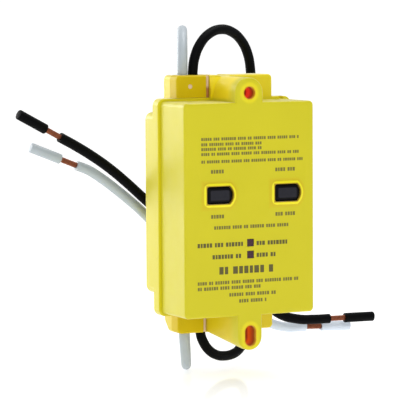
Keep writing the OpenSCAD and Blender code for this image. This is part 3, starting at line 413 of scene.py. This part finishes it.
# Bevel of a button, painted darker as shade: limits of its slope and of its distance inside the outline in
# millimetres
BEVEL_FACING = (-0.98, -0.9)
BEVEL_INSET = (-1.4, -0.8)
BEVEL_PAINTED_SHADE = (0.002, 0.002, 0.003)
PAD_SHADES = ((0.019, 0.019, 0.025), (0.024, 0.024, 0.031))


def black_key(name):
    """Charcoal button: its sloping bevel and border are painted blacker than its flat pad, as shade."""
    surface = Surface(name, {"Specular IOR Level": 0.1})
    x, _, z = surface.axes()
    # Painted shade: blacker where the surface slopes away from the front and near the outline
    sloping = surface.span(surface.facing("Y"), *BEVEL_FACING)
    bevel = surface.largest(sloping, surface.span(from_button(surface, x, z), *BEVEL_INSET))
    pad = surface.mix(surface.noise(size_mm=1.2, detail=2), *PAD_SHADES)
    surface.colour(surface.mix(bevel, pad, BEVEL_PAINTED_SHADE))
    surface.grain(size_mm=0.22, depth_mm=0.012, rough=(0.42, 0.55))
    return surface.material


# Foot of the top groove, where the sealant is painted brown as shade: limits of its height and of its left
# side in millimetres
GROOVE_FOOT = (47.5, 49.5)
GROOVE_SIDE = (-11, -10)
GROOVE_PAINTED_SHADE = (0.42, 0.17, 0.06)
SEALANT_SHADES = ((0.74, 0.56, 0.46), (0.8288, 0.6272, 0.5152))


def sealing(name):
    """Sealant: pale, with painted brown shade where it fills the foot of the top groove."""
    surface = Surface(name, {})
    x, _, z = surface.axes()
    # Painted shade: brown at the foot of the top groove
    foot = surface.times(surface.zone(z, *GROOVE_FOOT), surface.span(z, 0, 1))
    foot = surface.times(foot, surface.span(x, *GROOVE_SIDE))
    pale = surface.mix(surface.noise(size_mm=0.8, detail=3), *SEALANT_SHADES)
    surface.colour(surface.mix(foot, pale, GROOVE_PAINTED_SHADE))
    surface.grain(size_mm=0.3, depth_mm=0.02, rough=(0.5, 0.6))
    return surface.material


# White leads: where they turn from plain white to painted light, in millimetres to the right, and two shades
# of each
PAINTED_LIGHT_SIDE = (12, 30)
PLAIN_WHITE_SHADES = ((0.415, 0.47, 0.505), (0.465, 0.52, 0.56))
PAINTED_LIGHT_SHADES = ((0.64, 0.72, 0.84), (0.70, 0.78, 0.90))


def white_jacket(name):
    """White insulation, painted lighter and bluer towards the line leads' ends on the right, where they lie
    in shade.
    """
    surface = Surface(name, {"Specular IOR Level": 0.4})
    patches = surface.noise(size_mm=6, detail=3)
    plain_white = surface.mix(patches, *PLAIN_WHITE_SHADES)
    painted_light = surface.mix(patches, *PAINTED_LIGHT_SHADES)
    # Painted light: lighter and bluer to the right, where the leads lie in shade
    surface.colour(surface.mix(surface.span(surface.axes()["X"], *PAINTED_LIGHT_SIDE), plain_white, painted_light))
    surface.grain(size_mm=0.5, depth_mm=0.012, rough=(0.35, 0.45))
    return surface.material


# Plain materials: specular level, two shades, size of their patches, roughness, size and depth of the grain
PLASTICS = {
    # Strain reliefs: a darker, more orange copy of the housing yellow, painted shade of their recessed
    # fronts
    "relief_yellow_painted_shade": (0.12, (0.62, 0.46, 0.002), (0.68, 0.51, 0.003), 8, (0.36, 0.44), 0.6, 0.002),
    "plunger_plastic": (0.5, (0.55, 0.53, 0.47), (0.62, 0.6, 0.54), 3, (0.4, 0.5), 0.3, 0.005),
    "switch_black": (0.5, (0.02, 0.02, 0.022), (0.03, 0.03, 0.033), 2, (0.4, 0.5), 0.25, 0.006),
    "lens_smoke": (0.18, (0.045, 0.02, 0.03), (0.075, 0.036, 0.05), 1.5, (0.2, 0.3), 0.5, 0.002),
    "led_clear": (0.5, (0.5, 0.5, 0.46), (0.6, 0.6, 0.56), 2, (0.08, 0.15), 0.5, 0.002),
    "board_green": (0.5, (0.012, 0.09, 0.035), (0.02, 0.13, 0.05), 5, (0.25, 0.4), 0.4, 0.006),
    "ferrite_grey": (0.5, (0.04, 0.04, 0.043), (0.06, 0.06, 0.064), 3, (0.5, 0.6), 0.3, 0.01),
    "relay_plastic": (0.5, (0.03, 0.032, 0.045), (0.045, 0.047, 0.06), 3, (0.4, 0.5), 0.3, 0.006),
    "bobbin_white": (0.5, (0.55, 0.55, 0.5), (0.62, 0.62, 0.57), 3, (0.4, 0.5), 0.3, 0.005),
    "package_black": (0.5, (0.012, 0.012, 0.012), (0.02, 0.02, 0.02), 2, (0.5, 0.6), 0.2, 0.01),
    "varistor_blue": (0.5, (0.012, 0.05, 0.18), (0.02, 0.07, 0.24), 2, (0.2, 0.35), 0.6, 0.02),
    "capacitor_sleeve": (0.5, (0.012, 0.015, 0.05), (0.02, 0.024, 0.07), 3, (0.25, 0.35), 0.5, 0.006),
    "resistor_tan": (0.5, (0.36, 0.24, 0.12), (0.44, 0.3, 0.16), 2, (0.4, 0.5), 0.3, 0.01),
    "lead_black": (0.06, (0.0008, 0.001, 0.0013), (0.002, 0.0022, 0.003), 5, (0.5, 0.62), 0.5, 0.012),
    "large_ink": (0.5, (0.085, 0.072, 0.010), (0.12, 0.10, 0.014), 0.6, (0.5, 0.6), 0.15, 0.004),
    "small_ink": (0.5, (0.15, 0.13, 0.014), (0.20, 0.175, 0.02), 0.6, (0.5, 0.6), 0.15, 0.004),
}

# Metals: two shades, size of their patches, roughness, size and depth of the grain, and its stretch
METALS = {
    "spring_steel": ((0.42, 0.42, 0.43), (0.55, 0.55, 0.56), 2, (0.2, 0.35), 0.15, 0.003),
    "screw_steel": ((0.45, 0.45, 0.43), (0.6, 0.6, 0.57), 2, (0.25, 0.4), 0.2, 0.004),
    "coil_copper": ((0.36, 0.1, 0.035), (0.5, 0.16, 0.06), 1, (0.3, 0.4), 0.3, 0.05, (1, 6, 1)),
    "relay_steel": ((0.36, 0.36, 0.35), (0.46, 0.46, 0.45), 2, (0.3, 0.45), 0.3, 0.004, (1, 1, 8)),
    "bus_brass": ((0.5, 0.22, 0.08), (0.6, 0.3, 0.12), 3, (0.25, 0.4), 0.4, 0.004, (6, 1, 1)),
    "contact_silver": ((0.62, 0.62, 0.6), (0.7, 0.7, 0.69), 1, (0.2, 0.3), 0.2, 0.003),
    "strand_copper": ((0.13, 0.027, 0.011), (0.42, 0.155, 0.085), 1.1, (0.28, 0.4), 0.15, 0.004),
}

# Yellow shells: two shades, painted light on the upper neck, sheen
SHELLS = {
    "housing_yellow": ((0.60, 0.54, 0.004), (0.65, 0.583, 0.006), (0.92, 0.73, 0.002), 0.3),
    "rear_yellow": ((0.66, 0.58, 0.004), (0.70, 0.62, 0.006), (0.77, 0.64, 0.003), 0.6),
}


def make_materials():
    """A material for each slot of the record, and for the nodes and marks with a shade of their own."""
    made = {"sealant": sealing("sealant"), "button_black": black_key("button_black"),
            "lead_white": white_jacket("lead_white")}
    for name, facts in SHELLS.items():
        made[name] = moulded_yellow(name, *facts)
    for name, (specular, *facts) in PLASTICS.items():
        made[name] = varied(name, {"Specular IOR Level": specular}, *facts)
    for name, facts in METALS.items():
        made[name] = varied(name, {"Metallic": 1}, *facts)
    return made


# Smooth shading: angles in degrees, weld distance in millimetres
SMOOTH_BELOW = 38
BUTTON_SMOOTH_BELOW = 20
TUBE_SMOOTH_BELOW = 60
SLUG_SMOOTH_BELOW = 50
WELD = 0.001
FLAT_FACE_WEIGHT = 100


def smoothing_group(limit_deg):
    """Modifier nodes that weld a mesh and shade it smooth, except across edges sharper than the limit."""
    group = bpy.data.node_groups.new("smooth_below_limit", "GeometryNodeTree")
    for direction in ("INPUT", "OUTPUT"):
        group.interface.new_socket("Geometry", in_out=direction, socket_type="NodeSocketGeometry")
    start = group.nodes.new("NodeGroupInput")
    end = group.nodes.new("NodeGroupOutput")
    drop = group.nodes.new("GeometryNodeRemoveAttribute")
    drop.inputs["Name"].default_value = "custom_normal"
    weld = group.nodes.new("GeometryNodeMergeByDistance")
    weld.inputs["Distance"].default_value = WELD * MM
    faces = group.nodes.new("GeometryNodeSetShadeSmooth")
    edges = group.nodes.new("GeometryNodeSetShadeSmooth")
    edges.domain = "EDGE"
    angle = group.nodes.new("GeometryNodeInputMeshEdgeAngle")
    below = group.nodes.new("FunctionNodeCompare")
    below.operation = "LESS_THAN"
    below.inputs["B"].default_value = math.radians(limit_deg)
    link = group.links.new
    link(start.outputs[0], drop.inputs["Geometry"])
    link(drop.outputs["Geometry"], weld.inputs["Geometry"])
    link(weld.outputs["Geometry"], faces.inputs["Geometry"])
    link(faces.outputs["Geometry"], edges.inputs["Geometry"])
    link(angle.outputs["Unsigned Angle"], below.inputs["A"])
    link(below.outputs["Result"], edges.inputs["Shade Smooth"])
    link(edges.outputs["Geometry"], end.inputs[0])
    return group


# Nodes whose colour differs from the rest of their slot: the strain reliefs get a darker, more orange yellow
# as painted shade
SHADES = {
    "rear_housing": "rear_yellow",
    "line_strain_relief": "relief_yellow_painted_shade",
    "load_strain_relief": "relief_yellow_painted_shade",
}


def dress_nodes(materials):
    """Every CAD node gets the material of its slot, smooth shading, and even shading on its flat faces."""
    smooth, crisp = smoothing_group(SMOOTH_BELOW), smoothing_group(BUTTON_SMOOTH_BELOW)
    for part in frame["record"]["subparts"]:
        name = part["node"]
        node = nodes[name]
        node.data.materials.clear()
        node.data.materials.append(materials[SHADES.get(name, part["material_slot"])])
        node.modifiers.new("smooth", "NODES").node_group = crisp if name.endswith("_button") else smooth
        even = node.modifiers.new("even", "WEIGHTED_NORMAL")
        even.weight = FLAT_FACE_WEIGHT
        even.keep_sharp = True


def add_piece(name, data, material):
    """New piece of the housing body."""
    data.materials.append(material)
    piece = bpy.data.objects.new(name, data)
    bpy.context.scene.collection.objects.link(piece)
    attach(piece, HOUSING)
    return piece


def mesh_from(name, points, faces, smooth_below=None):
    """Mesh from points in millimetres, smooth across edges below an angle in degrees if one is given."""
    mesh = bpy.data.meshes.new(name)
    mesh.from_pydata([Vector(p) * MM for p in points], [], faces)
    mesh.update()
    if smooth_below:
        mesh.shade_smooth()
        mesh.set_sharp_from_angle(angle=math.radians(smooth_below))
    return mesh


def basis(along):
    """Two directions square to along and to each other."""
    side = along.cross(Vector((0, 1, 0))).normalized()
    return side, along.cross(side)


def circle(centre, radius, across, up, count):
    """Points of a circle in the plane of two directions."""
    turns = [2 * math.pi * k / count for k in range(count)]
    return [centre + radius * (math.cos(a) * across + math.sin(a) * up) for a in turns]


def add_tube(points, faces, rings):
    """Add a closed tube through rings of points."""
    base, count = len(points), len(rings[0])
    for row, ring in enumerate(rings):
        points.extend(ring)
        if row:
            near, far = base + (row - 1) * count, base + row * count
            pairs = [(i, (i + 1) % count) for i in range(count)]
            faces.extend((near + i, near + j, far + j, far + i) for i, j in pairs)
    last = len(points) - count
    faces.append(tuple(reversed(range(base, base + count))))
    faces.append(tuple(range(last, last + count)))


def half_loop(x, tip, side, toward, radius, lean):
    """Half loop that leaves a neck and bends over towards a heading, its tip set aside by lean."""
    points = []
    for turn in LOOP_TURNS:
        a = math.radians(turn)
        foot = Vector((x + lean * math.sin(a), LEAD_Y, tip + side * (LOOP_START + radius * math.sin(a))))
        points.append(foot + radius * (1 - math.cos(a)) * Vector(toward).normalized())
    return points


def lead_path(side, x, loop, route):
    """Route of a lead from its neck, in millimetres."""
    tip = NECK_TOP if side > 0 else NECK_BOTTOM
    start = [(x, LEAD_Y, tip), (x, LEAD_Y, tip + side * LEAD_START)]
    arc = half_loop(x, tip, side, *loop) if loop else []
    return [Vector(p) for p in start + arc + route]


def lead_curve(name, path, material):
    """Insulated lead: one smooth curve with a round section."""
    data = bpy.data.curves.new(name, "CURVE")
    data.dimensions = "3D"
    data.bevel_depth = LEAD_D / 2 * MM
    data.bevel_resolution = 6
    data.resolution_u = 10
    data.use_fill_caps = True
    spline = data.splines.new("BEZIER")
    spline.bezier_points.add(len(path) - 1)
    for point, place in zip(spline.bezier_points, path):
        point.co = place * MM
        point.handle_left_type = point.handle_right_type = "AUTO"
    return add_piece(name, data, material)


# Bare conductor, in millimetres: the middle reaches into the strands by a share of their radius
STRANDS = 12
STRAND_R = 0.25
STRAND_SIDES = 8
STRAND_STEPS = 30
STRAND_LAY = 24
STRAND_OVERLAP = 0.6
STRAND_STOP = 0.4


def strand_bundle(name, start, along, length, material):
    """Bare conductor: a ring of twisted strands around a filled middle."""
    side, up = basis(along)
    ring_r = CORE_D / 2 - STRAND_R
    points, faces = [], []

    def strand(centre_r, radius, phase):
        rings = []
        for step in range(STRAND_STEPS + 1):
            distance = length * step / STRAND_STEPS
            turn = phase + 2 * math.pi * distance / STRAND_LAY
            out = math.cos(turn) * side + math.sin(turn) * up
            centre = start + distance * along + centre_r * out
            rings.append(circle(centre, radius, out, along.cross(out), STRAND_SIDES))
        add_tube(points, faces, rings)

    for k in range(STRANDS):
        strand(ring_r, STRAND_R, 2 * math.pi * k / STRANDS)
    strand(0, ring_r - STRAND_OVERLAP * STRAND_R, 0)
    mesh = mesh_from(name, points, faces, TUBE_SMOOTH_BELOW)
    return add_piece(name, mesh, material)


# Slug of insulation, in millimetres: soft edge, part of it that is rounded, lip of the bore, thickness of
# the closed end, tilt of the cuts and its direction in radians
SLUG_SIDES = 40
SLUG_EDGE = 0.18
SLUG_SOFT = 0.3 * SLUG_EDGE
SLUG_LIP = 0.1
SLUG_END = 0.3
SLUG_TILT = 0.22
SLUG_TILT_WAY = 0.7


def end_slug(name, start, along, material):
    """Slug of insulation on a lead's end: cut a little askew, soft edges, its bore closed at the end."""
    side, up = basis(along)
    outer, inner = LEAD_D / 2, CORE_D / 2 + SLUG_GAP
    profile = [
        (inner, SLUG_L - SLUG_END), (inner, SLUG_LIP), (outer - SLUG_EDGE, 0),
        (outer - SLUG_SOFT, SLUG_SOFT), (outer, SLUG_EDGE), (outer, SLUG_L / 2),
        (outer, SLUG_L - SLUG_EDGE), (outer - SLUG_SOFT, SLUG_L - SLUG_SOFT), (outer - SLUG_EDGE, SLUG_L),
    ]
    points, faces, rings = [], [], []
    for radius, distance in profile:
        lean = SLUG_TILT / 2 * radius / outer * (1 - 2 * distance / SLUG_L)
        flat = circle(start + distance * along, radius, side, up, SLUG_SIDES)
        turns = [2 * math.pi * k / SLUG_SIDES for k in range(SLUG_SIDES)]
        rings.append([p + lean * abs(math.cos(a + SLUG_TILT_WAY)) * along for p, a in zip(flat, turns)])
    add_tube(points, faces, rings)
    mesh = mesh_from(name, points, [f[::-1] for f in faces], SLUG_SMOOTH_BELOW)
    return add_piece(name, mesh, material)


def make_leads(materials):
    """The four free leads, each with its bare conductor and the slug on its end."""
    for lead, facts in LEADS.items():
        slot = "lead_black" if lead.endswith("hot") else "lead_white"
        path = lead_path(*facts)
        along = (path[-1] - path[-2]).normalized()
        cord = lead_curve(f"{lead}_cord", path, materials[slot])
        inside = BARE_L + SLUG_L - STRAND_STOP
        strands = strand_bundle(f"{lead}_strands", path[-1], along, inside, materials["strand_copper"])
        slug = end_slug(f"{lead}_end_slug", path[-1] + BARE_L * along, along, materials[slot])
        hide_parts(f"{lead}_lead")
        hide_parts(f"{lead}_core")
        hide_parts(f"{lead}_slug")


# Return springs of the buttons, in millimetres
SPRING_WIRE = 0.5
SPRING_TURNS = 7
SPRING_STEPS = 24
SPRING_SIDES = 8


def button_coil(button, material):
    """Coil spring behind a button, in the box of the CAD spring that it hides."""
    node = f"{button}_spring"
    low, high = (Vector(corner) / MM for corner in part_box(node))
    middle = (low + high) / 2
    radius = (high.x - low.x - SPRING_WIRE) / 2
    rise = high.y - low.y - SPRING_WIRE
    count = SPRING_TURNS * SPRING_STEPS
    slope = rise / (2 * math.pi * radius * SPRING_TURNS)
    points, faces, rings = [], [], []
    for step in range(count + 1):
        turn = 2 * math.pi * step / SPRING_STEPS
        out = Vector((math.cos(turn), 0, math.sin(turn)))
        along = Vector((-math.sin(turn), slope, math.cos(turn))).normalized()
        centre = Vector((middle.x, low.y + SPRING_WIRE / 2 + rise * step / count, middle.z)) + radius * out
        rings.append(circle(centre, SPRING_WIRE / 2, out, along.cross(out), SPRING_SIDES))
    add_tube(points, faces, rings)
    mesh = mesh_from(f"{button}_coil", points, faces, TUBE_SMOOTH_BELOW)
    coil = add_piece(f"{button}_coil", mesh, material)
    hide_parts(node)
    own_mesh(coil)


# Generic print on the front, in millimetres: left end, right end, height on the cover and mark height of
# each row
SMALL_ROWS = [
    (-21.5, 22.5, 28.6, 1.2), (-21.5, 5.5, 26.5, 1.2), (-21.5, 5.5, 24.6, 1.2), (-21.5, 22.5, 22.6, 1.2),
    (-21.5, 24, 19.6, 1.2),
    (-17.3, -11.2, 15.6, 1.5), (11.5, 20.5, 15.6, 1.5), (-17.3, -10.8, -2.4, 1.5), (11.5, 20.5, -2.4, 1.5),
    (-16, 18, -6.9, 1.35),
    (-23.4, 22.5, -29.0, 1.35), (-23.4, 5.4, -31.2, 1.35), (-9.4, 11.8, -34.1, 1.4), (-5, 8.2, -36.8, 1.4),
]
LARGE_ROWS = [
    (-23.4, -3.2, -13.8, 1.7), (2.9, 18.4, -13.8, 1.7), (-16.8, -3.2, -18.6, 1.7), (2.9, 12.6, -18.6, 1.7),
    (-13.8, 12, -24.2, 3.0),
]
# Marks in each group, widths and gaps as shares of the mark height, and the print's thickness in millimetres
WORDS = (5, 3, 7, 4, 2, 6, 4)
MARKS = (0.62, 0.48, 0.7, 0.56)
MARK_GAP = 0.2
WORD_GAP = 0.55
PRINT_T = 0.03


def bar(points, faces, low, high):
    """Thin closed slab on the cover's front face."""
    base = len(points)
    for y in (FRONT_Y - PRINT_T, FRONT_Y + PRINT_T):
        corners = ((low[0], low[1]), (high[0], low[1]), (high[0], high[1]), (low[0], high[1]))
        points.extend((x, y, z) for x, z in corners)
    faces.append(tuple(base + i for i in (0, 1, 2, 3)))
    faces.append(tuple(base + i for i in (7, 6, 5, 4)))
    faces.extend(tuple(base + i for i in (k, k + 4, (k + 1) % 4 + 4, (k + 1) % 4)) for k in range(4))


def print_marks(name, rows, material):
    """Rows of plain block marks where a unit of this kind carries its print."""
    points, faces = [], []
    for row, (left, right, z, height) in enumerate(rows):
        x, word, mark, count = left, row, 0, 0
        while x + MARKS[mark % len(MARKS)] * height < right:
            end = x + MARKS[mark % len(MARKS)] * height
            bar(points, faces, (x, z - height / 2), (end, z + height / 2))
            mark, count = mark + 1, count + 1
            x = end + MARK_GAP * height
            if count == WORDS[word % len(WORDS)]:
                x, word, count = x + WORD_GAP * height, word + 1, 0
    add_piece(name, mesh_from(name, points, faces), material)


# Soft lights: place, target and width in metres, power in watts
LIGHTS = {
    "top_softbox": ((-0.4, -0.85, 0.85), (0, 0, 0), 0.7, 2.7),
    "front_softbox": ((-0.05, -1.1, 0.3), (0, 0, 0), 0.5, 1.25),
    "rear_softbox": ((0.13, 0.03, 0.35), (0.06, 0.01, -0.055), 0.2, 0.55),
}


def area_light(name, place, target, size, power):
    data = bpy.data.lights.new(name, "AREA")
    data.shape = "DISK"
    data.size = size
    data.energy = power
    light = bpy.data.objects.new(name, data)
    bpy.context.scene.collection.objects.link(light)
    light.location = place
    light.rotation_euler = (Vector(target) - Vector(place)).to_track_quat("-Z", "Y").to_euler()


# Strength of the surround: ahead of the object, behind it, added in the bright patch behind its left side,
# and as the camera sees it
SURROUND_FRONT = 0.4
SURROUND_BACK = 0.7
SURROUND_SPAN = (-1, 0.3)
PATCH = 4.8
PATCH_WAY = (-0.43, 0.9, -0.05)
PATCH_SPAN = (0.78, 0.97)
SEEN_WHITE = 1.05


def make_surround():
    """White surround: dimmer ahead of the object, brightest where its left faces mirror it."""
    world = bpy.data.worlds.new("studio")
    world.use_nodes = True
    sky = NodeTree(world.node_tree)
    way = sky.add("ShaderNodeTexCoord").outputs["Generated"]
    toward = sky.add("ShaderNodeVectorMath", operation="DOT_PRODUCT")
    sky.feed(toward.inputs[0], way)
    sky.feed(toward.inputs[1], Vector(PATCH_WAY).normalized())
    white = sky.span(sky.split(way)["Y"], *SURROUND_SPAN, SURROUND_FRONT, SURROUND_BACK)
    patch = sky.span(toward.outputs["Value"], *PATCH_SPAN, 0, PATCH)
    seen = sky.add("ShaderNodeMix")
    sky.feed(seen.inputs["Factor"], sky.add("ShaderNodeLightPath").outputs["Is Camera Ray"])
    sky.feed(seen.inputs["A"], sky.calc("ADD", white, patch))
    sky.feed(seen.inputs["B"], SEEN_WHITE)
    back = world.node_tree.nodes["Background"]
    sky.feed(back.inputs["Color"], (1, 1, 1, 1))
    sky.feed(back.inputs["Strength"], seen.outputs["Result"])
    bpy.context.scene.world = world


# Floor: reach in metres, gap under the lowest lead and radii of the glossy part in millimetres
FLOOR_REACH = 8
FLOOR_GAP = 0.3
FLOOR_GLOW = 0.44
FLOOR_SHADES = ((0.84, 0.84, 0.84), (0.85, 0.85, 0.85))
GLOSS_RADII = (60, 120)
GLOSS = (0.06, 0.4)
GLOSS_UNEVEN = (0, 0.02)


def pale_floor():
    """White sweep, glossy just under the object."""
    surface = Surface("pale_floor", {"Specular IOR Level": 0.12, "Emission Strength": FLOOR_GLOW})
    surface.colour(surface.mix(surface.noise(size_mm=400, detail=1), *FLOOR_SHADES))
    x, y, _ = surface.axes()
    gloss = surface.span(surface.distance(x, y), *GLOSS_RADII, *GLOSS)
    uneven = surface.span(surface.noise(size_mm=500, detail=1), *NOISE_ENDS, *GLOSS_UNEVEN)
    surface.roughness(surface.calc("ADD", gloss, uneven))
    return surface.material


def make_studio():
    """White surround, soft lights, and a pale floor just under the lowest lead."""
    scene = bpy.context.scene
    scene.view_settings.view_transform = "Standard"
    make_surround()
    for name, facts in LIGHTS.items():
        area_light(name, *facts)
    floor_z = cad_box[0].z - FLOOR_GAP * MM
    corners = ((-1, -1), (1, -1), (1, 1), (-1, 1))
    mesh = bpy.data.meshes.new("floor")
    mesh.from_pydata([(FLOOR_REACH * x, FLOOR_REACH * y, floor_z) for x, y in corners], [], [(0, 1, 2, 3)])
    floor = bpy.data.objects.new("floor", mesh)
    mesh.materials.append(pale_floor())
    scene.collection.objects.link(floor)


make_camera()
materials = make_materials()
dress_nodes(materials)
make_leads(materials)
for button in ("test", "reset"):
    button_coil(button, materials["spring_steel"])
print_marks("small_print", SMALL_ROWS, materials["small_ink"])
print_marks("large_print", LARGE_ROWS, materials["large_ink"])
make_studio()
